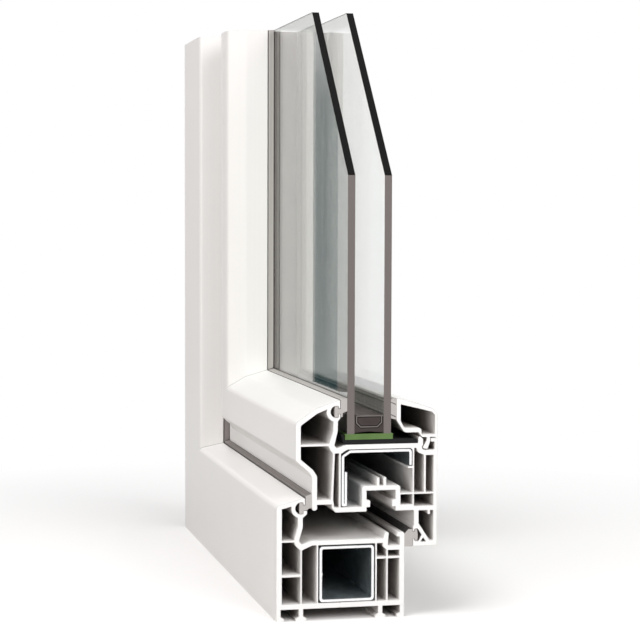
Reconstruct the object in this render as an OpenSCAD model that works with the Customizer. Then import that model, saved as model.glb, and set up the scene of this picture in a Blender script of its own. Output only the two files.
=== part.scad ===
// Corner sample of a white pvc window: outer frame, sash, double glazing and glazing bead.
// A section lies in the X-Z plane: X runs from the outside of the window to the room, Z is up.
// The bottom members run along Y from their cut ends to a mitred corner, where the side members rise.

/* [Sample] */
// Length of the bottom members, from the cut ends to the outer edge of the side frame
member_length = 314; // [260:1:400]
// Height of the side members
jamb_height = 330; // [290:1:420]
// Height of the panes at the cut ends, where their slanted cut starts
pane_cut_height = 236; // [180:1:260]
// Distance from the cut ends to the top of the slanted cut
pane_cut_run = 88; // [40:1:120]
// How far the steels stop short of the mitre
steel_setback = 3; // [1:0.5:20]

/* [Outer frame] */
// Thickness of the frame's outer wall
frame_wall = 3; // [2.5:0.1:3.2]
// Thickness of the frame's wall on the room side
room_wall = 2.8; // [2.4:0.1:3.2]
// Height of the feet below the frame's base wall
foot_height = 6.4; // [4:0.2:8]
// Thickness of the feet
foot_wall = 2.4; // [1.8:0.1:2.8]
// Thickness of the frame's base wall
base_wall = 2.8; // [2.2:0.1:3.2]
// Height of the sealing lip above the frame's rebate floor
lip_height = 22.8; // [21:0.2:25]
// Thickness of the floors of both rebates
floor_wall = 2.6; // [2.2:0.1:2.8]
// Width of the outermost frame chamber
outer_chamber = 10; // [8:0.2:11]
// Width of the chamber in front of the frame steel
front_chamber = 7.9; // [6:0.1:8.4]
// Width of the chamber behind the frame steel
back_chamber = 5.2; // [4.8:0.1:7]
// Width of the innermost frame chamber
inner_chamber = 6.3; // [5:0.1:7]
// Thickness of the inner webs
web = 0.9; // [0.7:0.1:1.2]
// Width of the groove that locates the lock keeps
keep_groove = 6.6; // [5.6:0.1:7]

/* [Sash] */
// How far the sash's outer face stands behind the frame's outer face
sash_setback = 10.3; // [9.5:0.1:11]
// How far the sash's room face stands proud of the frame's room face
sash_overhang = 18; // [17:0.2:20]
// Gap between the frame's sealing lip and the sash, closed by the frame seal
stop_gap = 3.6; // [3.2:0.1:4]
// Gap between the frame's room face and the sash flange, closed by the overlap seal
overlap_gap = 4.7; // [4.3:0.1:5.2]
// How far the sash's stop leg stands behind its outer face
leg_inset = 8.9; // [8:0.1:10]
// Distance from the sash's outer face to the inner face of its glazing lip
glazing_lip = 24.2; // [23.4:0.1:25]
// Gap for the lock gear between the frame's rebate floor and the sash
gear_gap = 14.6; // [13:0.2:16]
// Height of the sash from its underside to its glazing rebate floor
sash_rise = 36; // [34:0.2:38]
// Height of the sash's glazing lip above the glazing rebate floor
glazing_rebate = 24; // [22:0.2:26]
// Thickness of the sash's outer walls
sash_wall = 2.6; // [2.2:0.1:2.8]
// How far the sash's room flange reaches below its underside
flange_drop = 19.4; // [18:0.2:21]
// Width of the gear groove
gear_groove_w = 16; // [15.6:0.1:16.4]
// Width of the gear groove between its two ledges
gear_groove_neck = 12; // [11.6:0.1:12.4]
// Depth of the gear groove
gear_groove_d = 11.2; // [10:0.1:12]
// Distance from the frame's room face back to the middle of the gear groove
gear_axis = 13; // [12.6:0.1:13.4]

/* [Steel] */
// Outside width of the square tube in the frame
tube = 30; // [29:0.5:31]
// Wall thickness of the steels
steel_t = 1.6; // [1.2:0.1:1.8]
// Clearance round the steels
steel_clear = 0.3; // [0.1:0.05:0.5]
// Further room over the tube, under the frame's rebate floor
tube_headroom = 0.4; // [0.2:0.1:1]

/* [Glazing] */
// Thickness of each pane
pane_t = 4; // [3:0.5:5]
// Gap between the panes
pane_gap = 16; // [14:0.5:16]
// Gap between the outer glazing lip and the outer pane, filled by the seal
outer_seal_gap = 3.7; // [3:0.1:4]
// Gap between the inner pane and the bead, filled by the bead seal
bead_seal_gap = 3.2; // [2.6:0.1:4]
// Height of the glazing bridge under the setting block
bridge_h = 2.6; // [2:0.1:3]
// Height of the setting block under the panes
block_h = 3; // [2:0.5:4]
// Height of the spacer bar
spacer_h = 6.4; // [5.5:0.1:7]
// Depth of the edge seal below the spacer bar
edge_seal_h = 3.4; // [2.5:0.1:4]
// Length of the setting block and of the bridge along the sash
block_length = 100; // [60:1:120]
// Height of the bead above the glazing lip line on its room side
bead_h = 14.2; // [12:0.2:16]

/* [Seals] */
// Radius of the round seal grooves
groove_r = 3.2; // [3:0.05:3.3]
// Clearance between a seal's foot and its groove
seal_clear = 0.2; // [0.1:0.05:0.3]

/* [Hidden] */
white = [0.95, 0.95, 0.94];
seal_grey = [0.68, 0.66, 0.65];
steel = [0.44, 0.5, 0.56];
glass = [0.7, 0.8, 0.78, 0.5];
$fn = 48;

// Room for the cutting shapes
outside_margin = 60;

// Reach of the feet's claws, thickness of a groove's wall, height of the steel's hem and its slit
foot_claw = 1.8;
groove_wall = 2.1;
hem_h = 18.4;
hem_slit = 0.12;

// Mouth of a seal groove, below and above the middle of the groove, and half the width of its flat back
mouth_low = 1.3;
mouth_high = 1.8;
groove_lip = 1.2;

// Slits between the bead seal's tongues: height, fall towards the bead, and the seal left behind them
slit_h = 0.4;
slit_drop = 1.3;
tongue_root = 0.5;

// Frame levels, built up from the feet round the steel tube
base_top = foot_height + base_wall;
floor_under = base_top + tube + 2 * steel_clear + tube_headroom;
floor_height = floor_under + floor_wall;
frame_height = floor_height + lip_height;
keep_floor = floor_height - 3.9;
keep_under = keep_floor - floor_wall;
low_web = base_top + 14.4;
low_web_top = low_web + 1.4;
back_web = keep_under - 4.5;
back_web_top = back_web + 1.2;

// Frame webs, built up from the outer wall round the steel tube
web_a = frame_wall + outer_chamber;
web_b = web_a + web + front_chamber;
tube_chamber_x = web_b + web;
web_c = tube_chamber_x + tube + 4 * steel_clear;
web_d = web_c + web + back_chamber;
room_wall_x = web_d + web + inner_chamber;
frame_depth = room_wall_x + room_wall;
keep_right = room_wall_x + 0.2;
keep_left = keep_right - keep_groove;
sample_depth = frame_depth + sash_overhang;

// Sash levels and positions
sash_under = floor_height + gear_gap;
sash_floor = sash_under + sash_rise;
sash_floor_under = sash_floor - floor_wall;
sash_top = sash_floor + glazing_rebate;
sash_left = sash_setback;
sash_right = sample_depth;
leg_x = sash_left + leg_inset;
lip_x = leg_x - stop_gap;
frame_seal_at = [lip_x - 2.2, frame_height - 5.4];
glazing_lip_x = sash_left + glazing_lip;
glazing_seal_at = [glazing_lip_x - 2.1, sash_top - 6.4];
web_e = glazing_lip_x - 0.6;
gear_mid = frame_depth - gear_axis;
gear_left = gear_mid - gear_groove_w / 2;
gear_right = gear_mid + gear_groove_w / 2;
gear_top = sash_under + gear_groove_d;
neck_left = gear_mid - gear_groove_neck / 2;
neck_right = gear_mid + gear_groove_neck / 2;
neck_low = sash_under + 2.3;
neck_high = sash_under + 5.8;
neck_end = sash_under + 6.4;
steel_seat = sash_under + 2.7;
steel_ledge = sash_floor - 12.2;
leg_inside = leg_x + 2.8;
flange_left = frame_depth + overlap_gap;
flange_x = flange_left + 0.5;
web_f = flange_left - 0.4;
web_g = web_f + 6.3;
upstand_x = web_f + 3.1;
sash_room_wall = sash_right - 2.1;
flange_under = sash_under - flange_drop;
overlap_seal_at = [flange_left + 1.6, flange_under + 6.4];
mid_web_z = sash_under + 8.6;
room_floor_z = sash_under + 2.2;

// Glazing positions
pane_1 = glazing_lip_x + outer_seal_gap;
pane_2 = pane_1 + pane_t + pane_gap;
glass_room_face = pane_2 + pane_t;
bridge_top = sash_floor + bridge_h;
block_top = bridge_top + block_h;
pane_bottom = block_top;
spacer_bottom = pane_bottom + edge_seal_h;
spacer_top = spacer_bottom + spacer_h;
spacer_gap = 0.9;
spacer_wall = 0.6;
bead_x = glass_room_face + bead_seal_gap;
bead_seat = sash_floor + 3;
upturn_top = bridge_top + 2.5;

// Points of an arc that rounds the corner b between a and c to the radius r
function rounded_corner(a, b, c, r) =
    let (u = (a - b) / norm(a - b))
    let (v = (c - b) / norm(c - b))
    let (half = acos(max(-1, min(1, u * v))) / 2)
    let (sweep = 180 - 2 * half)
    let (middle = b + (u + v) / norm(u + v) * r / sin(half))
    let (start = b + u * r / tan(half) - middle)
    let (turn = sign(u[0] * v[1] - u[1] * v[0]))
    let (steps = max(2, ceil(sweep * sqrt(r) / 16)))
    [for (i = [0 : steps])
        let (angle = -turn * sweep * i / steps)
        middle + [start[0] * cos(angle) - start[1] * sin(angle),
                  start[0] * sin(angle) + start[1] * cos(angle)]];

// Outline through [x, z, radius] points, where a point with no radius stays sharp
function outline(points) =
    let (n = len(points))
    let (flat = [for (p = points) [p[0], p[1]]])
    [for (i = [0 : n - 1])
        for (q = len(points[i]) > 2
                ? rounded_corner(flat[(i + n - 1) % n], flat[i], flat[(i + 1) % n], points[i][2])
                : [flat[i]])
            q];

module shape(points) {
    polygon(outline(points));
}

// A rectangle from its two corners
module box2(low, high) {
    translate(low) square(high - low);
}

// Points on the arc of a circle about at, from one angle to another
function arc(at, r, from, to) =
    let (steps = ceil(abs(to - from) / 16))
    [for (i = [0 : steps])
        let (angle = from + (to - from) * i / steps)
        [at[0] + r * cos(angle), at[1] + r * sin(angle)]];

// A half-round slot for a seal's foot, with a neck that opens to the right
module seal_groove(at) {
    wide = acos(groove_lip / groove_r);
    open = at[0] + groove_wall + groove_r;
    polygon(concat(arc(at, groove_r, wide, 360 - wide),
                   [[at[0] + groove_lip, at[1] - mouth_low], [open, at[1] - mouth_low],
                    [open, at[1] + mouth_high], [at[0] + groove_lip, at[1] + mouth_high]]));
}

// A seal with its flat-backed foot in that slot, where body is the outline outside the slot
module footed_seal(at, body) {
    r = groove_r - seal_clear;
    lip = groove_lip - seal_clear;
    steep = acos(lip / r);
    back = 180 - acos(lip / r);
    shape(concat(arc(at, r, -back, -steep), [[at[0] + lip, at[1] - mouth_low + seal_clear]], body,
                 [[at[0] + lip, at[1] + mouth_high - seal_clear]], arc(at, r, steep, back)));
}

// Frame section

// Outline of a foot with claws on both sides, whose left side is at x
function double_foot(x) =
    let (right = x + foot_wall)
    [[right, foot_height], [right, foot_wall], [right + foot_claw, 1.4, 0.3], [right + foot_claw, 0],
     [x - foot_claw, 0], [x - foot_claw, 1.4, 0.3], [x, foot_wall], [x, foot_height]];

// Outline of the feet, from the room side to the outside
function feet() =
    let (room = frame_depth - foot_wall)
    concat([[frame_depth, 0], [room - foot_claw, 0, 0.4], [room - foot_claw, 1.6, 0.3],
            [room, foot_wall], [room, foot_height]],
           double_foot(web_c + 1.7), double_foot(web_a - 0.8),
           [[foot_wall, foot_height], [foot_wall, foot_wall], [foot_wall + foot_claw, 1.6, 0.3],
            [foot_wall + foot_claw, 0, 0.4], [0, 0]]);

// Outline of the keep groove's two edges and of the room wall's top
function keep_edges() =
    [[keep_left - 2.6, floor_height], [keep_left - 1.6, floor_height + 3.4, 0.6],
     [keep_left + 0.6, floor_height + 3, 0.7], [keep_left, keep_floor],
     [keep_right, keep_floor], [keep_right, floor_height + 0.5],
     [keep_right - 1.9, floor_height + 0.8, 0.4], [keep_right - 1.3, floor_height + 3.4, 0.8],
     [frame_depth, floor_height + 3, 1.4]];

// Outline of the sealing lip, from its top down to the rebate floor
function frame_lip() =
    let (claw_z = frame_seal_at[1] - 2.1)
    [[0, frame_height - 3.8, 3], [lip_x - 0.1, frame_height, 0.5],
     [lip_x, frame_seal_at[1] + 1.8, 0.2], [lip_x, claw_z + 0.8],
     [lip_x + 1.1, claw_z + 0.6, 0.5], [lip_x + 0.9, claw_z - 1.2, 0.6],
     [lip_x - 1.3, frame_seal_at[1] - 5.1, 0.4], [lip_x - 1.3, floor_height + 7.2, 4],
     [lip_x - 3.3, floor_height - 0.1, 1.4],
     [lip_x - 2, floor_height - 1.9, 1.4], [lip_x + 3.2, floor_height, 3]];

module frame_body() {
    shape(concat(frame_lip(), keep_edges(), feet()));
}

module frame_chambers() {
    // behind the sealing lip
    difference() {
        shape([[frame_wall, floor_height + 0.4], [lip_x - 6, floor_height + 0.4],
               [lip_x - 5.6, floor_height + 2.5, 1], [lip_x - 4, floor_height + 7.8, 2],
               [lip_x - 4, frame_height - 9.6], [lip_x - 2, frame_height - 9.6],
               [lip_x - 2, frame_height - 1], [lip_x - 6.5, frame_height - 4],
               [frame_wall, frame_height - 5.6]]);
        translate(frame_seal_at) circle(groove_r + groove_wall);
        box2([lip_x - 7.5, frame_seal_at[1]], [lip_x + 1, frame_height]);
    }
    // outer chambers
    shape([[frame_wall, low_web_top], [web_a, low_web_top], [web_a, floor_under - 2.3, 0.6],
           [web_a - 2.6, floor_under, 1], [web_a - 3.4, floor_height - 0.6],
           [frame_wall, floor_height - 0.6]]);
    box2([frame_wall, base_top], [web_a, low_web]);
    // chamber in front of the steel
    shape([[web_a + web, base_top], [web_b, base_top], [web_b, floor_under], [web_b - 2.4, floor_under, 1],
           [web_a + web + 0.2, floor_under - 2.3, 0.4], [web_a + web, floor_under - 2.8]]);
    // steel chamber
    box2([tube_chamber_x, base_top], [web_c, floor_under]);
    // chambers on the room side
    shape([[web_c + web, back_web_top], [web_d, back_web_top], [web_d, keep_under + 0.4],
           [web_d - 2, keep_under + 2], [web_d - 2, floor_under], [web_c + web, floor_under]]);
    box2([web_c + web, base_top], [web_d, back_web]);
    box2([web_d + web, base_top], [room_wall_x, back_web]);
    box2([web_d + web, back_web_top], [room_wall_x, keep_under]);
}

// Notches that guide a fixing drill through the middle of the base wall
module drill_notches() {
    for (z = [foot_height, base_top])
        translate([tube_chamber_x + 0.4 * tube, z]) rotate(45) square(0.5, center = true);
}

module frame_section() {
    difference() {
        frame_body();
        frame_chambers();
        seal_groove(frame_seal_at);
        drill_notches();
    }
}

module frame_steel_section() {
    low = [tube_chamber_x + 2 * steel_clear, base_top + steel_clear];
    high = low + [tube, tube];
    t = steel_t;
    difference() {
        shape([[low[0], low[1], 1.8], [low[0], high[1], 1.8],
               [high[0], high[1], 1.8], [high[0], low[1], 1.8]]);
        difference() {
            shape([[low[0] + t, low[1] + t, 0.8], [low[0] + t, high[1] - t, 0.8],
                   [high[0] - t, high[1] - t, 0.8], [high[0] - t, low[1] + t, 0.8]]);
            // the tube's welding seam
            translate([low[0] + t - 0.4, (low[1] + high[1]) / 2]) circle(0.8);
        }
    }
}

module frame_seal_section() {
    c = frame_seal_at;
    top = frame_height + 1;
    footed_seal(c, [[leg_x - 2.4, c[1] - 1.1], [leg_x - 2, c[1] - 0.3, 0.3],
                    [leg_x, c[1] + 0.1, 0.3], [leg_x, top + 1.2, 0.3],
                    [lip_x + seal_clear, top, 0.2], [lip_x + seal_clear, c[1] + 1.6]]);
}

// Sash section

module sash_body() {
    g = glazing_lip_x;
    shape([[sash_left, sash_floor - 7.9, 1.5], [sash_left, sash_top - 12, 3.4],
           [sash_left + 10.7, sash_top - 4.5, 8], [g - 0.1, sash_top, 0.5],
           [g, glazing_seal_at[1] - 3.5, 0.8], [g - 1.3, glazing_seal_at[1] - 5, 0.4],
           [g - 1.4, sash_floor + 7.2, 4], [g - 3.2, sash_floor - 0.2, 1.3], [g - 2, sash_floor - 1.8, 1.3],
           [g + 3, sash_floor, 3], [upstand_x, sash_floor], [upstand_x, sash_floor + 3.2, 0.5],
           [web_f + 4, sash_floor + 3.6, 0.5], [web_f + 5.8, sash_floor + 2.2, 0.5],
           [web_f + 5.8, sash_floor - 1], [web_f + 5.1, sash_floor - 1.9, 0.3],
           [web_f + 5.6, sash_floor - 3.7, 0.8],
           [sash_room_wall + 0.5, sash_floor - 3.7, 0.5], [sash_room_wall + 0.5, sash_floor + 0.6],
           [sash_room_wall - 1.5, sash_floor + 0.6], [sash_room_wall - 1.7, sash_floor + 2.5, 0.3],
           [sash_right, sash_floor + 2.5, 0.3], [sash_right, flange_under, 0.6],
           [flange_left, flange_under, 0.4], [flange_left, overlap_seal_at[1] + 3.8, 0.4],
           [flange_x, overlap_seal_at[1] + 5], [flange_x, sash_under, 0.9],
           [gear_right, sash_under], [gear_right, neck_low], [neck_right, neck_low, 0.3],
           [neck_right, neck_high, 0.3], [gear_right, neck_end], [gear_right, gear_top],
           [gear_left, gear_top], [gear_left, neck_end], [neck_left, neck_high, 0.3],
           [neck_left, neck_low, 0.3], [gear_left, neck_low], [gear_left, sash_under],
           [leg_x + 12.8, sash_under, 0.4], [leg_x + 10.8, sash_under + 2.6, 0.4],
           [leg_x + 10.8, sash_under + 4.4], [leg_inside, sash_under + 4.4],
           [leg_inside, sash_under + 1.4, 1.2], [leg_x, sash_under + 1.4, 1.2],
           [leg_x, sash_floor - 16.9, 1.5], [leg_x - 1.7, sash_floor - 14.1, 2]]);
}

module sash_chambers() {
    g = glazing_lip_x;
    wl = sash_left + sash_wall + 0.2;
    // above the thin cross web
    difference() {
        shape([[wl, sash_floor + 0.7], [g - 6.2, sash_floor + 0.7], [g - 3.9, sash_floor + 7, 2],
               [g - 3.7, sash_floor + 12.6], [g, sash_floor + 12.6], [g, sash_top],
               [g - 7.8, sash_top - 5.3], [g - 12.5, sash_top - 7.1, 6], [wl, sash_top - 13.4, 1.4]]);
        translate(glazing_seal_at) circle(groove_r + groove_wall);
        box2([g - 7.2, glazing_seal_at[1]], [g + 1, sash_top]);
    }
    // below the thin cross web, down the leg
    shape([[wl, sash_floor - 0.5], [wl, sash_floor - 7.3, 1], [leg_x + 0.6, sash_floor - 13, 2],
           [leg_inside, sash_floor - 16.4, 3], [leg_inside, sash_under + 7], [web_e - 4.4, sash_under + 7],
           [web_e - 3.4, sash_floor - 4.6], [g - 5.5, sash_floor - 2.6, 2], [g - 6.4, sash_floor - 0.5]]);
    // narrow chamber between the slanted web and the steel
    shape([[web_e - 3.2, sash_under + 7, 0.4], [leg_x + 12.2, steel_seat, 0.6], [web_e, steel_seat],
           [web_e, sash_floor - 4.5], [web_e - 2.3, sash_floor - 4.5]]);
    // steel chamber over the gear groove
    difference() {
        shape([[web_e + 1, steel_seat], [gear_left - 2.6, steel_seat],
               [gear_left - 2.6, gear_top + 2.6, 1.6], [gear_right + 2.6, gear_top + 2.6, 1.6],
               [gear_right + 2.6, mid_web_z + web],
               [web_f, mid_web_z + web], [web_f, sash_floor_under, 1.6], [web_e + 4.6, sash_floor_under, 1],
               [web_e + 1, sash_floor_under - 2.2, 0.5]]);
        // ribs that carry a screw, over the gear groove
        for (x = [gear_mid - 1.7, gear_mid + 2])
            shape([[x - 0.8, gear_top + 2], [x - 0.8, gear_top + 7, 0.5],
                   [x + 0.8, gear_top + 7, 0.5], [x + 0.8, gear_top + 2]]);
        // ledge under the steel's room-side leg
        box2([web_f - 2.6, steel_ledge - 1.2], [web_f + 0.1, steel_ledge]);
    }
    // chambers on the room side
    box2([gear_right + 2.7, sash_under + 3.2], [web_f, mid_web_z]);
    box2([web_f + web, room_floor_z], [sash_room_wall, mid_web_z]);
    shape([[web_f + web, mid_web_z + web], [web_g, mid_web_z + web], [web_g, sash_floor - 6.5],
           [web_f + 2.8, sash_floor - 4.9, 1.6], [web_f + 2, sash_floor - 2.6, 0.6],
           [web_f + web, sash_floor - 2.6, 0.3]]);
    box2([web_g + web + 0.2, mid_web_z + web], [sash_room_wall, sash_floor - 6.6]);
    // flange chamber, with the nub that hangs in it
    difference() {
        shape([[flange_x + 2.6, sash_under - 0.3], [flange_x + 2.6, flange_under + 12.2, 1],
               [sash_room_wall - 2, flange_under + 2.9, 0.6], [sash_room_wall, flange_under + 2.7, 0.6],
               [sash_room_wall, sash_under - 0.3, 0.3]]);
        shape([[sash_room_wall - 3.1, sash_under], [sash_room_wall - 3.1, sash_under - 2.5, 0.5],
               [sash_room_wall - 1.7, sash_under - 2.5, 0.5], [sash_room_wall - 1.7, sash_under]]);
    }
    // small triangular duct at the flange's foot
    shape([[flange_left + 4.2, flange_under + 2.2, 0.1], [flange_left + 7.3, flange_under + 2.2, 0.1],
           [flange_left + 5.7, flange_under + 4.4, 0.2]]);
}

module overlap_groove() {
    c = overlap_seal_at;
    shape([[c[0] - 0.8, c[1] - 3.8, 0.8], [c[0] - 0.8, c[1] + 2.9, 0.5], [c[0] + 1, c[1] + 2.9, 0.6],
           [c[0] + 3.3, c[1] - 0.5, 0.3], [c[0] + 1.6, c[1] - 3.8, 1]]);
    box2([c[0] - 3, c[1] - 2.6], [c[0], c[1] + 1.6]);
}

module sash_section() {
    difference() {
        sash_body();
        sash_chambers();
        seal_groove(glazing_seal_at);
        overlap_groove();
    }
}

// Folded C of sheet steel, hemmed at the foot of its outer leg
module sash_steel_section() {
    x0 = web_e + 1 + steel_clear;
    x1 = web_f - steel_clear;
    z0 = steel_seat + steel_clear;
    z1 = sash_floor_under - steel_clear;
    ledge = steel_ledge + steel_clear;
    t = steel_t;
    difference() {
        shape([[x0, z0, 0.9], [x0, z1 - 3, 1.6], [x0 + 4.6, z1, 1.6], [x1, z1, 1.8],
               [x1, ledge], [x1 - t, ledge], [x1 - t, z1 - t, 0.5], [x0 + 4.8, z1 - t, 0.6],
               [x0 + t, z1 - 3.7, 0.4], [x0 + t, z0 + hem_h + 0.4],
               [x0 + 2 * t, z0 + hem_h, 0.2], [x0 + 2 * t, z0, 0.9]]);
        // the slit between the two layers of the hem
        box2([x0 + t - hem_slit / 2, z0 + t], [x0 + t + hem_slit / 2, z0 + hem_h + 1]);
    }
}

module overlap_seal_section() {
    c = overlap_seal_at;
    x0 = frame_depth;
    lip = c[0] - 1.8;
    shape([[x0, flange_under - 0.2, 0.3], [x0, c[1] + 0.4, 0.6], [x0 + 2.2, c[1] + 2.8, 0.6],
           [lip, c[1] + 2.8, 0.3], [lip, c[1] + 1.4], [c[0] - 0.6, c[1] + 1.4],
           [c[0] - 0.6, c[1] + 2.7, 0.4], [c[0] + 0.7, c[1] + 2.7, 0.5], [c[0] + 1.1, c[1] - 0.5, 0.8],
           [c[0] + 0.9, c[1] - 3.6, 0.7], [c[0] - 0.6, c[1] - 3.6, 0.6], [c[0] - 0.6, c[1] - 2.4],
           [lip, c[1] - 2.4], [lip, flange_under - 0.2, 0.3]]);
}

module glazing_seal_section() {
    c = glazing_seal_at;
    x0 = glazing_lip_x + seal_clear;
    footed_seal(c, [[x0, c[1] - 1.1], [x0, c[1] - 2.8, 0.3], [x0 + 1.1, c[1] - 2.8, 0.3],
                    [x0 + 1.1, c[1] - 0.7, 0.3], [pane_1, c[1] + 0.3, 0.3],
                    [pane_1, sash_top + 1, 0.3], [x0, sash_top, 0.3], [x0, c[1] + 1.6]]);
}

// Glazing bead and its seal

module bead_section() {
    b = bead_seat + 0.1;
    r = sash_right;
    top_room = bead_seat + bead_h;
    toe = web_f + 5.6;
    difference() {
        shape([[bead_x, sash_floor + 12.4, 2], [bead_x, sash_top + 0.2, 0.5],
               [bead_x + 1.3, sash_top + 0.2, 0.6], [r - 2.5, top_room + 1.2, 4],
               [r, top_room - 1.8, 2.4], [r, b, 0.3],
               // the sprung clip leg
               [web_f + 9.7, b], [web_f + 9.7, sash_floor + 0.8, 0.5], [web_f + 8.3, sash_floor - 3.2, 0.5],
               [web_f + 6.2, sash_floor - 3.2, 0.5], [web_f + 5.5, sash_floor - 2.2, 0.5],
               [web_f + 6.5, sash_floor - 0.9, 0.5], [web_f + 7.7, sash_floor + 1, 1], [web_f + 7.9, b],
               // the foot on the sash's upstand
               [toe - 0.4, b, 0.4], [web_f + 3.2, sash_floor + 5.8, 0.3],
               [bead_x + 4.3, sash_floor + 5.8, 2.4]]);
        shape([[bead_x + 2.2, sash_floor + 12.2, 1.5], [bead_x + 2.2, sash_top - 3, 0.3],
               [r - 3.4, top_room - 0.4, 2], [r - 1.4, top_room - 2.2, 1], [r - 1.4, b + 1.6],
               [web_f + 4.9, b + 1.6], [web_f + 4.9, sash_floor + 8.2, 2],
               [bead_x + 4.2, sash_floor + 8.4, 0.5]]);
    }
}

// Outline of the slit between two tongues of the bead seal, which slants down from the pane
function tongue_slit(z) =
    [[glass_room_face, z, 0.2], [bead_x - tongue_root, z - slit_drop],
     [bead_x - tongue_root, z - slit_drop - slit_h], [glass_room_face, z - slit_h, 0.2]];

module bead_seal_section() {
    z0 = sash_floor + 13;
    z1 = sash_top;
    shape(concat([[bead_x, z0], [bead_x, z1], [bead_x - 1, z1 + 0.3, 0.3], [glass_room_face, z1 - 0.2, 0.4]],
                 tongue_slit(z1 - 1.6), tongue_slit(z1 - 8.2),
                 [[glass_room_face, z0 + 0.6, 0.3], [bead_x - 1, z0, 0.2]]));
}

// Sealed unit

// Outline of a pane in the Y-Z plane, with its slanted cut towards the cut ends
module pane_outline() {
    polygon([[0, pane_bottom], [member_length - pane_bottom, pane_bottom],
             [member_length - pane_bottom, jamb_height], [pane_cut_run, jamb_height], [0, pane_cut_height]]);
}

module spacer_section() {
    x0 = pane_1 + pane_t + spacer_gap;
    x1 = pane_2 - spacer_gap;
    shape([[x0, spacer_bottom + 2.4], [x0, spacer_top, 0.3], [x1, spacer_top, 0.3],
           [x1, spacer_bottom + 2.4], [x1 - 2.4, spacer_bottom, 0.3], [x0 + 2.4, spacer_bottom, 0.3]]);
}

module spacer_bore() {
    x0 = pane_1 + pane_t + spacer_gap + spacer_wall;
    x1 = pane_2 - spacer_gap - spacer_wall;
    low = spacer_bottom + spacer_wall;
    high = spacer_top - spacer_wall;
    shape([[x0, low + 2], [x0, high, 0.2], [x1, high, 0.2], [x1, low + 2],
           [x1 - 2, low, 0.2], [x0 + 2, low, 0.2]]);
}

module edge_seal_section() {
    x0 = pane_1 + pane_t;
    x1 = pane_2;
    difference() {
        shape([[x0, pane_bottom + 0.6], [x0, spacer_top - 0.6, 0.3], [x1, spacer_top - 0.6, 0.3],
               [x1, pane_bottom + 0.6], [(x0 + x1) / 2, pane_bottom + 1.3, 12]]);
        spacer_section();
    }
}

// Members, mitred at the corner

// A length of the 2-D section that lies along Y from the cut end to the mitre plane
module mitred(cut_end) {
    difference() {
        translate([0, member_length, 0]) rotate([90, 0, 0])
            linear_extrude(member_length - cut_end) children();
        translate([-outside_margin, 0, 0]) rotate([90, 0, 90])
            linear_extrude(sample_depth + 2 * outside_margin)
                polygon([[member_length + outside_margin, -outside_margin],
                         [member_length - jamb_height, jamb_height],
                         [member_length + outside_margin, jamb_height]]);
    }
}

// A length cut square before the mitre, for the steels
module square_cut(cut_end, far_end) {
    translate([0, far_end, 0]) rotate([90, 0, 0]) linear_extrude(far_end - cut_end) children();
}

// The same section round the corner, turned over about the mitre plane
module turned() {
    translate([0, member_length, member_length]) mirror([0, 1, 1]) children();
}

// The whole sample stands centred over the origin
module placed() {
    translate([-sample_depth / 2, -member_length / 2, 0]) children();
}

jamb_cut = member_length - jamb_height;
frame_steel_end = member_length - base_top - tube - steel_clear - steel_setback;
sash_steel_end = member_length - sash_floor_under - steel_setback;

module frame_bottom_profile() { color(white) placed() mitred(0) frame_section(); }
module frame_side_profile() { color(white) placed() turned() mitred(jamb_cut) frame_section(); }
module frame_bottom_steel() { color(steel) placed() square_cut(0, frame_steel_end) frame_steel_section(); }
module frame_side_steel() {
    color(steel) placed() turned() square_cut(jamb_cut, frame_steel_end) frame_steel_section();
}
module frame_bottom_seal() { color(seal_grey) placed() mitred(0) frame_seal_section(); }
module frame_side_seal() { color(seal_grey) placed() turned() mitred(jamb_cut) frame_seal_section(); }
module sash_bottom_profile() { color(white) placed() mitred(0) sash_section(); }
module sash_side_profile() { color(white) placed() turned() mitred(jamb_cut) sash_section(); }
module sash_bottom_steel() { color(steel) placed() square_cut(0, sash_steel_end) sash_steel_section(); }
module sash_side_steel() {
    color(steel) placed() turned() square_cut(jamb_cut, sash_steel_end) sash_steel_section();
}
module overlap_bottom_seal() { color(seal_grey) placed() mitred(0) overlap_seal_section(); }
module overlap_side_seal() { color(seal_grey) placed() turned() mitred(jamb_cut) overlap_seal_section(); }
module glazing_bottom_seal() { color(seal_grey) placed() mitred(0) glazing_seal_section(); }
module glazing_side_seal() { color(seal_grey) placed() turned() mitred(jamb_cut) glazing_seal_section(); }
module bead_bottom() { color(white) placed() mitred(0) bead_section(); }
module bead_side() { color(white) placed() turned() mitred(jamb_cut) bead_section(); }
module bead_bottom_seal() { color(seal_grey) placed() mitred(0) bead_seal_section(); }
module bead_side_seal() { color(seal_grey) placed() turned() mitred(jamb_cut) bead_seal_section(); }

module pane(x) {
    translate([x, 0, 0]) rotate([90, 0, 90]) linear_extrude(pane_t) pane_outline();
}

module outer_pane() { color(glass) placed() pane(pane_1); }
module inner_pane() { color(glass) placed() pane(pane_2); }

module spacer_bar() {
    color("dimgray") placed() {
        mitred(0) difference() { spacer_section(); spacer_bore(); }
        turned() mitred(jamb_cut) difference() { spacer_section(); spacer_bore(); }
    }
}

// The granules that fill the spacer bar, as one solid
module drying_agent() {
    color([0.3, 0.26, 0.25]) placed() {
        mitred(0) spacer_bore();
        turned() mitred(jamb_cut) spacer_bore();
    }
}

module edge_seal() {
    color([0.2, 0.18, 0.18]) placed() {
        mitred(0) edge_seal_section();
        turned() mitred(jamb_cut) edge_seal_section();
    }
}

module setting_block() {
    color([0.4, 0.5, 0.31]) placed()
        translate([pane_1 - 1, 0, bridge_top]) cube([glass_room_face - pane_1 + 2.1, block_length, block_h]);
}

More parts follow.
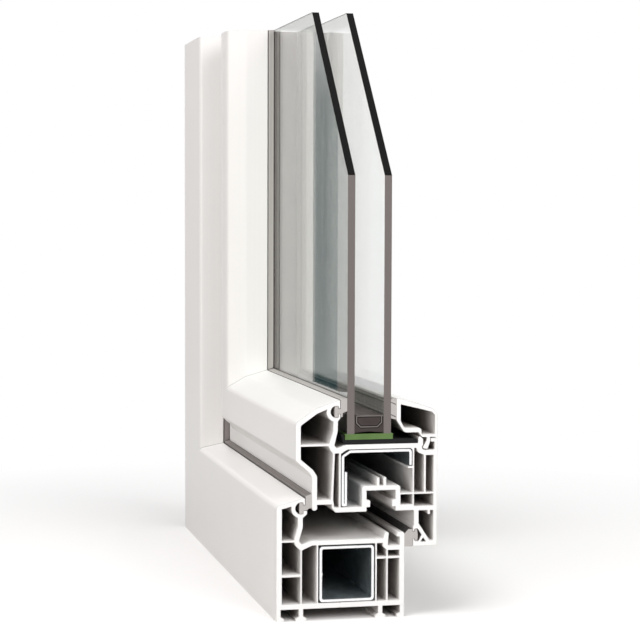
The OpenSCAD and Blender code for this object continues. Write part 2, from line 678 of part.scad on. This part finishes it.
module glazing_bridge() {
    x0 = glazing_lip_x + 0.9;
    x1 = upstand_x - 0.3;
    low = sash_floor + 0.05;
    color([0.16, 0.16, 0.16]) placed() square_cut(0, block_length)
        shape([[x0 + 2.6, low], [x0 + 1, low + 0.55, 0.8], [x0, upturn_top, 0.3], [x0 + 1, upturn_top, 0.3],
               [x0 + 1.3, bridge_top, 0.3], [x1 - 1.2, bridge_top, 1.2], [x1, low, 0.3]]);
}

frame_bottom_profile();
frame_side_profile();
frame_bottom_steel();
frame_side_steel();
frame_bottom_seal();
frame_side_seal();
sash_bottom_profile();
sash_side_profile();
sash_bottom_steel();
sash_side_steel();
overlap_bottom_seal();
overlap_side_seal();
glazing_bottom_seal();
glazing_side_seal();
bead_bottom();
bead_side();
bead_bottom_seal();
bead_side_seal();
outer_pane();
inner_pane();
spacer_bar();
drying_agent();
edge_seal();
setting_block();
glazing_bridge();
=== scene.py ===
"""Looks of a corner sample of a white pvc window: materials, floor, light and camera."""

import functools
import math

import bpy
from mathutils import Matrix, Vector


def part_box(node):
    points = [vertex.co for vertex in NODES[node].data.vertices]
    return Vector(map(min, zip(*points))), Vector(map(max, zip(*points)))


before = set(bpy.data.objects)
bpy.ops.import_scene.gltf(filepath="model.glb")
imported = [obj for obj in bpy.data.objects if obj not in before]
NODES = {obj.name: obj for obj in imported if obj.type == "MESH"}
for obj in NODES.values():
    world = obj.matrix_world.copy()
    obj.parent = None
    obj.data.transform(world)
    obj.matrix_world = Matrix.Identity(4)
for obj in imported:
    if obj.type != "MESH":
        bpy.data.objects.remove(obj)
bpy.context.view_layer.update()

MM = 0.001

# X runs from the outside to the room. The bottom members were extruded along Y, the side ones along Z
ALONG_X = (1, 0, 0)
ALONG_Y = (0, 1, 0)
ALONG_Z = (0, 0, 1)
TO_OUTSIDE = (-1, 0, 0)
TO_FRONT = (0, -1, 0)

# The front plane, on which the bottom members and the sealed unit end, and how near to it a point of their
# cut ends lies
FRONT_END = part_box("frame_bottom_profile")[0].y
FRONT_DEPTH = 0.1 * MM

# The mitre is the plane y + z = CORNER, which passes through the far bottom corner of the sample
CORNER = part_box("frame_side_profile")[1].y

# The spacer bar in the bottom of the sealed unit: level of its top, thickness of its walls, height of its
# sloping lower corners, and the width of the dark seams round it on the cut end
SPACER_TOP = 108.8 * MM
SPACER_WALL = 0.6 * MM
SPACER_SLOPE = 2.4 * MM
SEAM_WIDTH = 0.45 * MM

# Camera of the photograph, found from its vanishing directions
EYE = Vector((-242.5, -1129.2, 215.5)) * MM
YAW = math.radians(12.851)
PITCH = math.radians(3.197)
ROLL = math.radians(0.164)
IMAGE_SIDE = 640
FOCAL_PIXELS = 1896.9
SENSOR_MM = 36.0
CLIP_START = 0.05

# Colours, linear
PLAIN_WHITE = (1, 1, 1, 1)
PVC_WHITE = (0.87, 0.855, 0.84, 1)
PVC_CUT = (0.96, 0.962, 0.955, 1)
# painted shade: the pvc darkened along the edges of its sawn ends, and deep in hollows
PVC_RIM_SHADE = (0.6, 0.585, 0.57, 1)
PVC_PAINTED_SHADE = (0.48, 0.45, 0.43, 1)
WELD_GREY = (0.42, 0.40, 0.385, 1)
STEEL_GREY = (0.45, 0.51, 0.535, 1)
STEEL_CUT = (0.90, 0.905, 0.91, 1)
# painted shade along the edges of the steel's sawn ends, which widens the dark gap round the steel
STEEL_RIM_SHADE = (0.05, 0.055, 0.06, 1)
SEAL_GREY = (0.49, 0.465, 0.445, 1)
# the stop and overlap seal greys are the seal grey darkened as painted shade, the overlap seal's most
STOP_SEAL_SHADED_GREY = (0.23, 0.205, 0.195, 1)
OVERLAP_SEAL_SHADED_GREY = (0.045, 0.042, 0.041, 1)
SEAL_CUT = (0.50, 0.475, 0.46, 1)
# painted shade where a seal meets another piece
SEAL_PAINTED_SHADE = (0.03, 0.026, 0.024, 1)
OUTER_CLEAR = (0.91, 0.93, 0.915, 1)
INNER_CLEAR = (0.965, 0.975, 0.968, 1)
GLASS_SHADE = (0.925, 0.94, 0.925, 1)
GLASS_EDGE = (0.19, 0.168, 0.16, 1)
# painted shade on the slanted cut of a pane, which faces up and to the front
GLASS_SLANT_SHADE = (0.006, 0.0055, 0.0055, 1)
SPACER_BROWN = (0.062, 0.048, 0.045, 1)
SPACER_CUT = (0.17, 0.15, 0.145, 1)
SEALANT_BROWN = (0.058, 0.047, 0.045, 1)
AGENT_BROWN = (0.068, 0.054, 0.053, 1)
SEAM_BLACK = (0.006, 0.005, 0.005, 1)
BLOCK_GREEN = (0.125, 0.215, 0.07, 1)
BRIDGE_BLACK = (0.010, 0.010, 0.011, 1)
FLOOR_WHITE = (0.95, 0.938, 0.932, 1)
FLOOR_BOUNCE = (0.36, 0.34, 0.325, 1)

# Width and length of the fine lines that a die or a roller leaves along a member
DIE_LINES = (0.9 * MM, 400 * MM)
ROLLING_LINES = (0.6 * MM, 160 * MM)
SEAL_LINES = (0.5 * MM, 200 * MM)
SPACER_LINES = (0.4 * MM, 60 * MM)

# Sizes of the spots that are alike every way: soft clouds of tone, the steel's spangle and fine grain
PVC_CLOUDS = 38 * MM
PLASTIC_CLOUDS = 9 * MM
SPANGLE = 5 * MM
PVC_GRAIN = 0.35 * MM
SEAL_GRAIN = 0.25 * MM
GROUND_GRAIN = 0.5 * MM
PLASTIC_GRAIN = 0.3 * MM
AGENT_GRAIN = 0.7 * MM

# The saw's scores: their distance, the two parts of the direction across them, and the size and strength
# of their wobble
SCORE_PITCH = 0.45 * MM
SCORE_TILT = (0.96, 0.28)
WOBBLE = 6 * MM
WOBBLE_TURNS = 3.0

# Roughness at the low and the high end of a material's noise, and what a sawn end adds to the pvc's
PVC_ROUGH = (0.30, 0.42)
SAWN_ROUGH = 0.16
STEEL_ROUGH = (0.30, 0.48)
SEAL_ROUGH = (0.55, 0.72)
GROUND_ROUGH = (0.25, 0.4)
SPACER_ROUGH = (0.45, 0.6)
AGENT_ROUGH = (0.7, 0.9)
SEALANT_ROUGH = (0.5, 0.7)
BLOCK_ROUGH = (0.4, 0.55)
BRIDGE_ROUGH = (0.5, 0.65)
FLOOR_ROUGH = 0.9

# Specular levels of dull matter, of a pane's clear faces and of its ground edges, the index of refraction
# of pvc and glass, and how metallic the two metals look
DULL_SHINE = 0.15
CLEAR_SHINE = 0.5
EDGE_SHINE = 0.06
GLASSY_IOR = 1.5
STEEL_METALLIC = 0.85
SPACER_METALLIC = 0.1

# How closely a face looks along an axis, from 0 to 1, where a mask begins and where it is full: a face
# square to the axis, a face of the pvc that shows no weld, a pane's clear face and its slanted cut
SQUARE_FACE = (0.9, 0.97)
WELDLESS_FACE = (0.85, 0.98)
CLEAR_FACE = (0.3, 0.6)
SLANTED_FACE = (0.3, 0.5)

# How far y + z is from CORNER where the weld line is full and where it ends, and how much it covers
WELD_WIDTH = (0.15 * MM, 0.4 * MM)
WELD_COVER = 0.8

# The middle part of a noise, over which a ramp goes from end to end, and that of two noises added
SPREAD = (0.3, 0.7)
NARROW_SPREAD = (0.35, 0.65)
SUM_SPREAD = (0.7, 1.3)
WIDE_SUM_SPREAD = (0.6, 1.4)

# Occlusion masks for painted shade: how far hollows are looked for and the openness at which the shade is
# full and at which it ends, then the width of the painted shade rims on cut ends and the same two limits
# for them
OCCLUSION_SAMPLES = 8
PVC_SHADE_OCCLUSION = (30 * MM, 0.05, 0.35)
SEAL_SHADE_OCCLUSION = (1.6 * MM, 0.62, 0.78)
PVC_RIM_WIDTH = 0.4 * MM
STEEL_RIM_WIDTH = 0.55 * MM
RIM_OPENNESS = (0.55, 0.85)

# Half the side of the floor in metres, and the distances between which it fades to plain white
FLOOR_REACH = 1.1
FADE_START = 0.15
FADE_END = 0.5

# Strength of the world's light on the sample
WORLD_LIGHT = 0.31

# Lamps, which all look at one point: name, place, side of the square in metres, power in watts and colour
LAMP_TARGET = Vector((0, 0, 0.15))
LAMPS = (
    ("side", (-2.15, -1.55, 0.6), 1.4, 22, (1, 0.965, 0.945)),
    ("high", (-0.8, -0.5, 2.3), 1.2, 31, (1, 1, 1)),
    ("front", (0.9, -2.15, 1.55), 1.6, 45, (1, 1, 1)),
    ("right", (1.5, -0.5, 1.9), 1.2, 2, (1, 1, 1)),
)

# The upright flags far behind the sample that its outer side mirrors, a warm one in the white faces, and a
# dark one and a grey one beside it in the outer pane: the colour, and the bearings in degrees from +Y
# towards -X between which it begins and between which it ends
FLAGS = (
    ((1.0, 0.85, 0.81, 1), (3.0, 4.0), (11.0, 11.4)),
    ((0.0, 0.042, 0.055, 1), (12.44, 12.66), (13.38, 13.42)),
    ((0.2, 0.195, 0.19, 1), (13.36, 13.40), (13.75, 13.79)),
)
# Heights in degrees above the horizon between which the flags fade to nothing, and the height above which
# their far edge leans towards +Y, with its lean
FLAG_TOP = (3.4, 8.4)
LEAN_FROM = 3.3
LEAN = 0.28

# A pale flag above them: its colour, the heights between which it begins and the bearings of its two sides
UPPER_FLAG = (0.42, 0.41, 0.39, 1)
UPPER_FLAG_FOOT = (5.3, 5.55)
UPPER_FLAG_SIDES = ((11.2, 11.6), (14.4, 14.8))


class Tree:
    """The node tree of a material or world, with short calls that add nodes and return an output."""

    def __init__(self, name, owners=bpy.data.materials):
        self.owner = owners.new(name)
        self.owner.use_nodes = True
        self.nodes = self.owner.node_tree.nodes
        self.links = self.owner.node_tree.links
        self.shader = self.nodes.get("Principled BSDF") or self.nodes["Background"]

    def feed(self, socket, value):
        if isinstance(value, bpy.types.NodeSocket):
            self.links.new(value, socket)
        else:
            socket.default_value = value

    def add(self, kind, output=0, inputs=None, **settings):
        made = self.nodes.new(kind)
        for key, value in settings.items():
            setattr(made, key, value)
        for key, value in (inputs or {}).items():
            self.feed(made.inputs[key], value)
        return made.outputs[output]

    def place(self):
        return self.add("ShaderNodeTexCoord", "Object")

    def normal(self):
        return self.add("ShaderNodeNewGeometry", "Normal")

    def math(self, operation, a, b=0.0, clamp=False):
        return self.add("ShaderNodeMath", 0, {0: a, 1: b}, operation=operation, use_clamp=clamp)

    def greatest(self, values):
        return functools.reduce(lambda a, b: self.math("MAXIMUM", a, b), values)

    def dot(self, vector, axis):
        return self.add("ShaderNodeVectorMath", "Value", {0: vector, 1: axis}, operation="DOT_PRODUCT")

    def facing(self, axis):
        """How closely a face looks along an axis, either way: 1 square to it, 0 beside it."""
        return self.math("ABSOLUTE", self.dot(self.normal(), axis))

    def stretch(self, sizes):
        """The place in units of the given sizes, one for each axis."""
        return self.add("ShaderNodeVectorMath", 0, {0: self.place(), 1: sizes}, operation="DIVIDE")

    def ramp(self, value, low, high, to_low=0.0, to_high=1.0):
        inputs = {"Value": value, "From Min": low, "From Max": high, "To Min": to_low, "To Max": to_high}
        return self.add("ShaderNodeMapRange", 0, inputs, clamp=True)

    def noise(self, sizes, detail=2.0, roughness=0.5, seed=0.0):
        """Noise from 0 to 1, whose spots have the given sizes, one for each axis."""
        vector = self.stretch(sizes)
        inputs = {"Vector": vector, "W": seed, "Scale": 1.0, "Detail": detail, "Roughness": roughness}
        return self.add("ShaderNodeTexNoise", 0, inputs, noise_dimensions="4D")

    def spots(self, size, detail=2.0, roughness=0.5, seed=0.0):
        return self.noise((size,) * 3, detail, roughness, seed)

    def streaks(self, along, width_and_length, detail=2.0, seed=0.0):
        """Noise drawn out into streaks that run along a member."""
        width, length = width_and_length
        return self.noise(tuple(length if a else width for a in along), detail, seed=seed)

    def blend(self, share, a, b):
        return self.add("ShaderNodeMix", 2, {0: share, 6: a, 7: b}, data_type="RGBA")

    def bump(self, height, depth, strength, normal=None):
        """Relief whose height, from 0 to 1, is depth metres."""
        inputs = {"Height": height, "Distance": depth, "Strength": strength}
        if normal is not None:
            inputs["Normal"] = normal
        return self.add("ShaderNodeBump", 0, inputs)

    def openness(self, reach, **settings):
        """1 in the open, less where something lies within reach."""
        kind = "ShaderNodeAmbientOcclusion"
        return self.add(kind, "AO", {"Distance": reach}, samples=OCCLUSION_SAMPLES, **settings)

    def hollow_shade(self, reach, closed, open_air):
        """Share of painted shade: 1 deep in hollows or where another piece touches, 0 in the open. It
        looks as far as reach.
        """
        return self.ramp(self.openness(reach), closed, open_air, 1.0, 0.0)

    def rim_shade(self, reach):
        """Share of painted shade along the edges of a piece: 1 within reach of them, 0 further in."""
        inward = self.openness(reach, inside=True, only_local=True)
        return self.ramp(inward, *RIM_OPENNESS, 1.0, 0.0)

    def set(self, **values):
        """Feeds the shader's inputs, named with an underscore for each space, and returns the owner."""
        for key, value in values.items():
            self.feed(self.shader.inputs[key.replace("_", " ")], value)
        return self.owner

    def rays(self, *kinds):
        """1 for rays of any of these kinds, 0 for the others."""
        return self.greatest([self.add("ShaderNodeLightPath", f"Is {kind} Ray") for kind in kinds])

    def seen(self):
        """1 where the camera, a reflection or a refraction looks, 0 for light that falls on the sample."""
        return self.rays("Camera", "Glossy", "Transmission")

    def finish_with(self, share, other):
        """The shader gives way to the other one by a share."""
        surface = self.add("ShaderNodeMixShader", inputs={0: share, 1: self.shader.outputs[0], 2: other})
        self.feed(self.nodes["Material Output"].inputs["Surface"], surface)


def darker(colour, share):
    return tuple(c * share for c in colour[:3]) + (1,)


def cut_share(tree, along):
    """1 on the faces that were sawn across the extrusion, 0 on its long faces."""
    return tree.ramp(tree.facing(along), *SQUARE_FACE)


def front_end(tree):
    """1 on the sawn ends that face the camera, 0 behind them."""
    return tree.math("LESS_THAN", tree.dot(tree.place(), ALONG_Y), FRONT_END + FRONT_DEPTH)


def saw_marks(tree, along):
    """Fine parallel scores, tilted a little, as a circular saw leaves them."""
    side = ALONG_Z if along == ALONG_Y else ALONG_Y
    main_part, side_part = SCORE_TILT
    tilt = tuple(main_part if s else side_part * (1 - a) for s, a in zip(side, along))
    run = tree.dot(tree.place(), tilt)
    wobble = tree.math("MULTIPLY", tree.spots(WOBBLE), WOBBLE_TURNS)
    phase = tree.math("ADD", tree.math("DIVIDE", run, SCORE_PITCH), wobble)
    return tree.math("ABSOLUTE", tree.math("SINE", phase))


def weld_share(tree, cut):
    """1 on the weld line in the mitre plane, but not on faces square to X or on the sawn ends."""
    level = tree.dot(tree.place(), (0, 1, 1))
    off = tree.math("ABSOLUTE", tree.math("SUBTRACT", level, CORNER))
    welded = tree.ramp(tree.facing(ALONG_X), *WELDLESS_FACE, 1.0, 0.0)
    welded = tree.math("SUBTRACT", welded, cut, True)
    return tree.math("MULTIPLY", tree.ramp(off, *WELD_WIDTH, 1.0, 0.0), welded)


def pvc(name, along):
    """Smooth white pvc, faint die lines, sawn ends, a cleaned mitre weld; painted shade in hollows and at
    cut edges.
    """
    tree = Tree(name)
    lines = tree.streaks(along, DIE_LINES, detail=3.0)
    clouds = tree.spots(PVC_CLOUDS, seed=3.0)
    grain = tree.spots(PVC_GRAIN, seed=5.0)
    cut = cut_share(tree, along)
    weld = weld_share(tree, cut)

    tone = tree.ramp(tree.math("ADD", lines, clouds), *SUM_SPREAD)
    colour = tree.blend(tone, darker(PVC_WHITE, 0.975), PVC_WHITE)
    # painted shade deep in hollows, and a painted shade rim along the edges of the sawn ends
    colour = tree.blend(tree.hollow_shade(*PVC_SHADE_OCCLUSION), colour, PVC_PAINTED_SHADE)
    colour = tree.blend(cut, colour, tree.blend(tree.rim_shade(PVC_RIM_WIDTH), PVC_CUT, PVC_RIM_SHADE))
    colour = tree.blend(tree.math("MULTIPLY", weld, WELD_COVER), colour, WELD_GREY)

    gloss = tree.ramp(tree.math("ADD", lines, grain), *WIDE_SUM_SPREAD, *PVC_ROUGH)
    rough = tree.math("ADD", gloss, tree.math("MULTIPLY", cut, SAWN_ROUGH))

    sawn = tree.math("MULTIPLY", saw_marks(tree, along), cut)
    relief = tree.bump(lines, depth=0.012 * MM, strength=0.5)
    relief = tree.bump(grain, depth=0.004 * MM, strength=0.5, normal=relief)
    relief = tree.bump(sawn, depth=0.02 * MM, strength=0.6, normal=relief)
    groove = tree.math("SUBTRACT", 1.0, weld)
    relief = tree.bump(groove, depth=0.12 * MM, strength=0.8, normal=relief)
    return tree.set(Base_Color=colour, Roughness=rough, Normal=relief, IOR=GLASSY_IOR)


def steel(name, along):
    """Galvanised sheet: soft spangle, rolling lines and bright sawn ends with painted shade along their
    edges.
    """
    tree = Tree(name)
    spangle = tree.spots(SPANGLE, detail=3.0, roughness=0.6)
    lines = tree.streaks(along, ROLLING_LINES, seed=2.0)
    cut = cut_share(tree, along)
    colour = tree.blend(tree.ramp(spangle, *NARROW_SPREAD), darker(STEEL_GREY, 0.72), STEEL_GREY)
    # a painted shade rim along the edges of the sawn ends
    colour = tree.blend(cut, colour, tree.blend(tree.rim_shade(STEEL_RIM_WIDTH), STEEL_CUT, STEEL_RIM_SHADE))
    rough = tree.ramp(tree.math("ADD", spangle, lines), *SUM_SPREAD, *STEEL_ROUGH)
    sawn = tree.math("MULTIPLY", saw_marks(tree, along), cut)
    relief = tree.bump(lines, depth=0.01 * MM, strength=0.5)
    relief = tree.bump(sawn, depth=0.02 * MM, strength=0.5, normal=relief)
    return tree.set(Base_Color=colour, Roughness=rough, Normal=relief, Metallic=STEEL_METALLIC)


def seal(name, along, grey, on_pane=False):
    """Matt grey elastomer with fine extrusion lines and a paler cut end, with painted shade where pieces
    meet.

    A seal on the room side of the panes shows through them, so its faces on the glass get no painted
    shade.
    """
    tree = Tree(name)
    lines = tree.streaks(along, SEAL_LINES)
    grain = tree.spots(SEAL_GRAIN, seed=4.0)
    colour = tree.blend(tree.ramp(lines, *NARROW_SPREAD), darker(grey, 0.75), grey)
    # painted shade where the seal meets other pieces, left off a bead seal's faces on the glass
    hollow_shade = tree.hollow_shade(*SEAL_SHADE_OCCLUSION)
    if on_pane:
        on_glass = tree.ramp(tree.dot(tree.normal(), TO_OUTSIDE), *SQUARE_FACE)
        hollow_shade = tree.math("SUBTRACT", hollow_shade, on_glass, True)
    colour = tree.blend(hollow_shade, colour, SEAL_PAINTED_SHADE)
    colour = tree.blend(cut_share(tree, along), colour, SEAL_CUT)
    rough = tree.ramp(grain, *SPREAD, *SEAL_ROUGH)
    relief = tree.bump(lines, depth=0.02 * MM, strength=0.5)
    relief = tree.bump(grain, depth=0.01 * MM, strength=0.6, normal=relief)
    return tree.set(Base_Color=colour, Roughness=rough, Normal=relief)


def glass(name, clearness):
    """Clear float glass whose ground edges are dark, with near-black painted shade on the slanted cut."""
    tree = Tree(name)
    edge = tree.ramp(tree.facing(ALONG_X), *CLEAR_FACE, 1.0, 0.0)
    clear = tree.math("SUBTRACT", 1.0, edge)
    upward = tree.ramp(tree.dot(tree.normal(), ALONG_Z), *SLANTED_FACE)
    frontward = tree.ramp(tree.dot(tree.normal(), TO_FRONT), *SLANTED_FACE)
    slanted = tree.math("MULTIPLY", upward, frontward)
    ground = tree.spots(GROUND_GRAIN)
    # the slanted cut gets near-black painted shade in place of the edge colour
    colour = tree.blend(edge, clearness, tree.blend(slanted, GLASS_EDGE, GLASS_SLANT_SHADE))
    tree.set(
        Base_Color=colour,
        Roughness=tree.math("MULTIPLY", edge, tree.ramp(ground, *SPREAD, *GROUND_ROUGH)),
        Normal=tree.bump(tree.math("MULTIPLY", ground, edge), depth=0.01 * MM, strength=0.5),
        IOR=GLASSY_IOR,
        Transmission_Weight=clear,
        Specular_IOR_Level=tree.ramp(edge, 0.0, 1.0, CLEAR_SHINE, EDGE_SHINE),
    )
    # lamps and soft light pass straight through the panes
    passing = tree.add("ShaderNodeBsdfTransparent", inputs={"Color": GLASS_SHADE})
    tree.finish_with(tree.math("MULTIPLY", tree.rays("Shadow", "Diffuse"), clear), passing)
    return tree.owner


def spacer():
    """Dark satin spacer bar with a paler sawn end."""
    tree = Tree("spacer_metal")
    width, length = SPACER_LINES
    lines = tree.noise((width, length, length))
    colour = tree.blend(lines, darker(SPACER_BROWN, 0.85), SPACER_BROWN)
    return tree.set(
        Base_Color=tree.blend(front_end(tree), colour, SPACER_CUT),
        Roughness=tree.ramp(lines, *SPREAD, *SPACER_ROUGH),
        Normal=tree.bump(lines, depth=0.01 * MM, strength=0.5),
        Metallic=SPACER_METALLIC,
        Specular_IOR_Level=DULL_SHINE,
    )


def spacer_distance(tree):
    """How far a point of the cut end lies outside the spacer bar's outline, with its sloping corners."""
    low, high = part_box("spacer_bar")
    middle = (low.x + high.x) / 2
    aside = tree.math("ABSOLUTE", tree.math("SUBTRACT", tree.dot(tree.place(), ALONG_X), middle))
    level = tree.dot(tree.place(), ALONG_Z)
    sides = tree.math("SUBTRACT", aside, (high.x - low.x) / 2)
    top = tree.math("SUBTRACT", level, SPACER_TOP)
    foot = tree.math("SUBTRACT", low.z, level)
    corner = tree.math("ADD", sides, tree.math("ADD", foot, SPACER_SLOPE))
    corner = tree.math("MULTIPLY", corner, math.sqrt(0.5))
    return tree.greatest((sides, top, foot, corner))


def moulded(name, colour, rough, grain_size=PLASTIC_GRAIN, seam=None):
    """Plain matt plastic or compound, with fine grain.

    A seam is a dark line on the cut end, from one distance outside the spacer bar's outline to another.
    """
    tree = Tree(name)
    grain = tree.spots(grain_size, detail=3.0)
    clouds = tree.spots(PLASTIC_CLOUDS, seed=2.0)
    tone = tree.blend(tree.ramp(clouds, *SPREAD), darker(colour, 0.82), colour)
    if seam:
        away = spacer_distance(tree)
        begun, ended = (tree.math("GREATER_THAN", away, limit) for limit in seam)
        line = tree.math("SUBTRACT", begun, ended)
        tone = tree.blend(tree.math("MULTIPLY", line, front_end(tree)), tone, SEAM_BLACK)
    return tree.set(
        Base_Color=tone,
        Roughness=tree.ramp(grain, *SPREAD, *rough),
        Normal=tree.bump(grain, depth=0.02 * MM, strength=0.5),
        Specular_IOR_Level=DULL_SHINE,
    )


def dress(material, *names):
    """Gives the named nodes a material in every slot."""
    for name in names:
        slots = NODES[name].material_slots
        if not slots:
            NODES[name].data.materials.append(material)
        for slot in slots:
            slot.material = material


def dress_all():
    for member, along in (("bottom", ALONG_Y), ("side", ALONG_Z)):
        profiles = (f"frame_{member}_profile", f"sash_{member}_profile", f"bead_{member}")
        steels = (f"frame_{member}_steel", f"sash_{member}_steel")
        dress(pvc("white_pvc_" + member, along), *profiles)
        dress(steel("galvanised_steel_" + member, along), *steels)
        dress(seal("grey_seal_" + member, along, SEAL_GREY), f"glazing_{member}_seal")
        dress(seal("bead_seal_" + member, along, SEAL_GREY, True), f"bead_{member}_seal")
        # the stop and overlap seals get darker greys on their long faces as painted shade; their cut ends
        # keep SEAL_CUT
        dress(seal("shaded_stop_seal_" + member, along, STOP_SEAL_SHADED_GREY), f"frame_{member}_seal")
        dress(seal("shaded_overlap_seal_" + member, along, OVERLAP_SEAL_SHADED_GREY), f"overlap_{member}_seal")
    dress(glass("outer_glass", OUTER_CLEAR), "outer_pane")
    dress(glass("inner_glass", INNER_CLEAR), "inner_pane")
    dress(spacer(), "spacer_bar")
    inner_seam = (-(SPACER_WALL + SEAM_WIDTH), -SPACER_WALL)
    dress(moulded("drying_agent", AGENT_BROWN, AGENT_ROUGH, AGENT_GRAIN, inner_seam), "drying_agent")
    dress(moulded("edge_sealant", SEALANT_BROWN, SEALANT_ROUGH, seam=(0, SEAM_WIDTH)), "edge_seal")
    dress(moulded("green_plastic", BLOCK_GREEN, BLOCK_ROUGH), "setting_block")
    dress(moulded("black_plastic", BRIDGE_BLACK, BRIDGE_ROUGH), "glazing_bridge")


def make_floor():
    """A plain pale floor that looks white to the camera and keeps the sample's shadow."""
    mesh = bpy.data.meshes.new("floor")
    corners = [(x, y, 0) for x, y in ((-1, -1), (1, -1), (1, 1), (-1, 1))]
    mesh.from_pydata([Vector(c) * FLOOR_REACH for c in corners], [], [(0, 1, 2, 3)])
    floor = bpy.data.objects.new("floor", mesh)
    bpy.context.scene.collection.objects.link(floor)
    tree = Tree("floor")
    colour = tree.blend(tree.seen(), FLOOR_BOUNCE, FLOOR_WHITE)
    mesh.materials.append(tree.set(Base_Color=colour, Roughness=FLOOR_ROUGH, Specular_IOR_Level=0.0))
    away = tree.add("ShaderNodeVectorMath", "Value", {0: tree.place()}, operation="LENGTH")
    share = tree.math("MULTIPLY", tree.seen(), tree.ramp(away, FADE_START, FADE_END))
    plain = tree.add("ShaderNodeEmission", inputs={"Color": PLAIN_WHITE, "Strength": 1.0})
    tree.finish_with(share, plain)


def degree_ramp(tree, angle, limits, *ends):
    """A ramp over an angle, whose limits are in degrees."""
    return tree.ramp(angle, *map(math.radians, limits), *ends)


def make_world():
    """Even studio light, with a white background for the camera, metal and glass.

    Some flags stand far behind the sample on its outer side, and only mirrors show them.
    """
    tree = Tree("studio", bpy.data.worlds)
    direction = tree.add("ShaderNodeSeparateXYZ", 0, {0: tree.add("ShaderNodeTexCoord", "Generated")}).node
    west = tree.math("MULTIPLY", direction.outputs["X"], -1)
    turn = tree.math("ARCTAN2", west, direction.outputs["Y"])
    height = tree.math("ARCSINE", direction.outputs["Z"])
    lean = tree.math("MULTIPLY", tree.math("SUBTRACT", height, math.radians(LEAN_FROM), True), LEAN)
    leaning = tree.math("ADD", turn, lean)
    below = degree_ramp(tree, height, FLAG_TOP, 1.0, 0.0)
    above = degree_ramp(tree, height, UPPER_FLAG_FOOT)
    mirrored = tree.rays("Glossy")

    flags = [flag + (leaning, below) for flag in FLAGS]
    flags.append((UPPER_FLAG, *UPPER_FLAG_SIDES, turn, above))
    colour = PLAIN_WHITE
    for paint, start, end, far_edge, level in flags:
        begun = degree_ramp(tree, turn, start)
        ended = degree_ramp(tree, far_edge, end)
        inside = tree.math("MULTIPLY", tree.math("SUBTRACT", begun, ended, True), level)
        colour = tree.blend(tree.math("MULTIPLY", inside, mirrored), colour, paint)
    strength = tree.ramp(tree.seen(), 0, 1, WORLD_LIGHT, 1.0)
    bpy.context.scene.world = tree.set(Color=colour, Strength=strength)


def make_lamps():
    for name, place, size, power, colour in LAMPS:
        data = bpy.data.lights.new(name, "AREA")
        data.size = size
        data.energy = power
        data.color = colour
        lamp = bpy.data.objects.new(name, data)
        lamp.location = place
        lamp.rotation_euler = (LAMP_TARGET - Vector(place)).to_track_quat("-Z", "Y").to_euler()
        bpy.context.scene.collection.objects.link(lamp)


def make_camera():
    data = bpy.data.cameras.new("camera")
    data.sensor_width = SENSOR_MM
    data.lens = FOCAL_PIXELS * SENSOR_MM / IMAGE_SIDE
    data.clip_start = CLIP_START
    camera = bpy.data.objects.new("camera", data)
    forward = Vector((math.sin(YAW) * math.cos(PITCH), math.cos(YAW) * math.cos(PITCH), -math.sin(PITCH)))
    right = Vector((math.cos(YAW), -math.sin(YAW), 0))
    up = right.cross(forward)
    turn = Matrix((right, up, -forward)).transposed()
    camera.matrix_world = Matrix.Translation(EYE) @ (turn @ Matrix.Rotation(ROLL, 3, "Z")).to_4x4()
    bpy.context.scene.collection.objects.link(camera)
    bpy.context.scene.camera = camera


def main():
    bpy.context.scene.view_settings.view_transform = "Standard"
    dress_all()
    make_floor()
    make_world()
    make_lamps()
    make_camera()


main()
